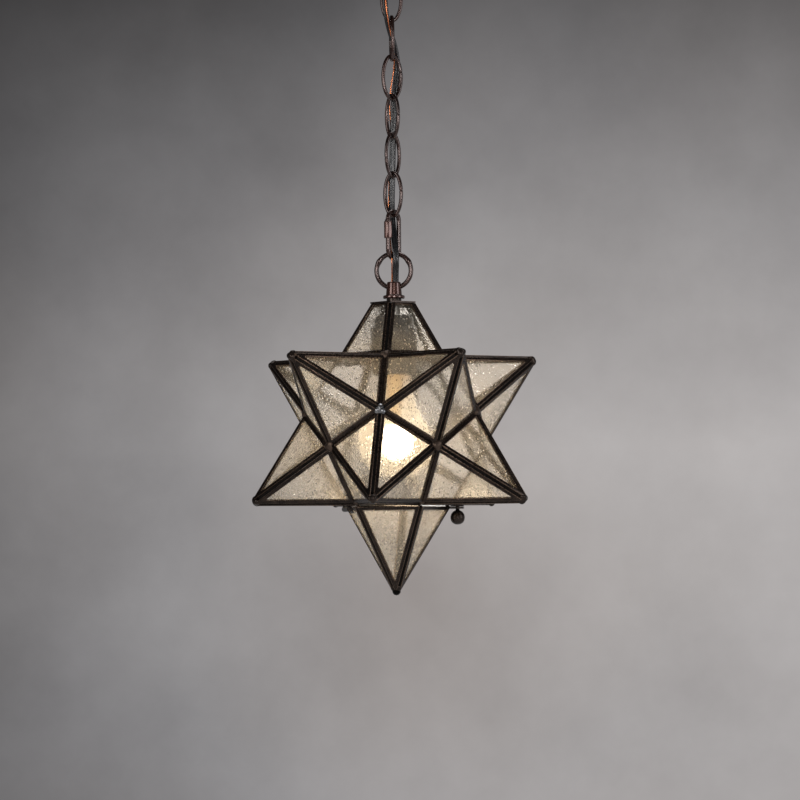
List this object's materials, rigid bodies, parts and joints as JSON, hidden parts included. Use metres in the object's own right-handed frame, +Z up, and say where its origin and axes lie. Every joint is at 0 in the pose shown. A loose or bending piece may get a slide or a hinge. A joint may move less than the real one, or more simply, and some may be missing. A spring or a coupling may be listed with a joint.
{
  "type": "moravian star pendant",
  "caption": "Star-shaped glass pendant light with dark metal framed panes, hinged bottom point, ring loop, quick link, chain and ceiling canopy.",
  "frame": {"origin": "on the ceiling plane, at the centre of the canopy's rim and midway between its two mounting screws", "axes": "+Z up along the chain, +X to the right as seen in the picture, -Y towards the viewer"},
  "size_m": [0.237, 0.237, 0.5905],
  "materials": {
    "seeded_glass": "clear hand-rolled glass with seeds",
    "came": "dark bronze patina",
    "solder": "blackened solder, worn bright on the lumps",
    "bronze": "oil-rubbed bronze, semi-gloss",
    "dark_patina": "dark bronze patina",
    "zinc_steel": "zinc plate",
    "brass_shell": "plain brass",
    "phenolic": "moulded phenolic",
    "bulb_envelope": "soft white",
    "cord_jacket": "black vinyl twin cord",
    "copper": "bare soft copper"
  },
  "bodies": {
    "ceiling_mount": {"canopy_cover": "bronze", "crossbar": "zinc_steel", "box_screws": "zinc_steel", "canopy_stem": "zinc_steel", "canopy_nuts": "zinc_steel", "canopy_spacer": "dark_patina", "canopy_loop": "bronze", "supply_cord": "cord_jacket", "ground_wire": "copper"},
    "link_1": {"chain_link_1": "bronze"},
    "link_2": {"chain_link_2": "bronze"},
    "link_3": {"chain_link_3": "bronze"},
    "link_4": {"chain_link_4": "bronze"},
    "link_5": {"chain_link_5": "bronze"},
    "link_6": {"chain_link_6": "bronze"},
    "quick_link_body": {"quick_link": "bronze"},
    "sleeve": {"quick_link_sleeve": "bronze"},
    "star": {"star_loop": "bronze", "stem_spacer": "dark_patina", "star_stem": "zinc_steel", "top_plate": "dark_patina", "stem_nut": "zinc_steel", "socket_body": "phenolic", "socket_screw_shell": "brass_shell", "socket_contact": "brass_shell", "seam_solder": "solder", "tip_solder": "solder", "hinge_fixed_knuckles": "dark_patina", "hinge_pin": "dark_patina", "fixed_lug": "dark_patina", "top_came": "came", "top_glass": "seeded_glass", "upper_1_came": "came", "upper_1_glass": "seeded_glass", "upper_2_came": "came", "upper_2_glass": "seeded_glass", "upper_3_came": "came", "upper_3_glass": "seeded_glass", "upper_4_came": "came", "upper_4_glass": "seeded_glass", "upper_5_came": "came", "upper_5_glass": "seeded_glass", "lower_1_came": "came", "lower_1_glass": "seeded_glass", "lower_2_came": "came", "lower_2_glass": "seeded_glass", "lower_3_came": "came", "lower_3_glass": "seeded_glass", "lower_4_came": "came", "lower_4_glass": "seeded_glass", "lower_5_came": "came", "lower_5_glass": "seeded_glass"},
    "door": {"door_came": "came", "door_glass": "seeded_glass", "door_solder": "solder", "hinge_door_knuckle": "dark_patina", "door_lug": "dark_patina"},
    "thumbscrew": {"door_thumbscrew": "dark_patina"},
    "bulb": {"bulb_base": "brass_shell", "bulb_glass": "bulb_envelope"}
  },
  "joints": [
    {"name": "link_1_swing", "type": "hinge", "parent": "ceiling_mount", "child": "link_1", "pos_m": [0, 0, -0.06745], "axis": [0, 1, 0], "range_deg": [-15, 15], "deforming": ["supply_cord", "ground_wire"]},
    {"name": "link_2_swing", "type": "hinge", "parent": "link_1", "child": "link_2", "pos_m": [0, 0, -0.09945], "axis": [1, 0, 0], "range_deg": [-15, 15]},
    {"name": "link_3_swing", "type": "hinge", "parent": "link_2", "child": "link_3", "pos_m": [0, 0, -0.13185], "axis": [0.1045, -0.9945, 0], "range_deg": [-15, 15]},
    {"name": "link_4_swing", "type": "hinge", "parent": "link_3", "child": "link_4", "pos_m": [0, 0, -0.16425], "axis": [0.9272, 0.3746, 0], "range_deg": [-15, 15]},
    {"name": "link_5_swing", "type": "hinge", "parent": "link_4", "child": "link_5", "pos_m": [0, 0, -0.19665], "axis": [0.6018, -0.7986, 0], "range_deg": [-15, 15]},
    {"name": "link_6_swing", "type": "hinge", "parent": "link_5", "child": "link_6", "pos_m": [0, 0, -0.22905], "axis": [0.6691, 0.7431, 0], "range_deg": [-15, 15]},
    {"name": "quick_link_swing", "type": "hinge", "parent": "link_6", "child": "quick_link_body", "pos_m": [0, 0, -0.26145], "axis": [0.8434, -0.5373, 0], "range_deg": [-15, 15]},
    {"name": "star_swing", "type": "hinge", "parent": "quick_link_body", "child": "star", "pos_m": [0, 0, -0.2968], "axis": [0.5736, 0.8192, 0], "range_deg": [-15, 15]},
    {"name": "sleeve_travel", "type": "slide", "parent": "quick_link_body", "child": "sleeve", "axis": [0, 0, -1], "range_m": [0, 0.008]},
    {"name": "door_swing", "type": "hinge", "parent": "star", "child": "door", "pos_m": [-0.04001, -0.0063, -0.503], "axis": [-0.1556, 0.9878, 0], "range_deg": [0, 105]},
    {"name": "thumbscrew_travel", "type": "slide", "parent": "door", "child": "thumbscrew", "axis": [0, 0, -1], "range_m": [0, 0.0055]},
    {"name": "bulb_travel", "type": "slide", "parent": "star", "child": "bulb", "axis": [0, 0, -1], "range_m": [0, 0.028]}
  ]
}
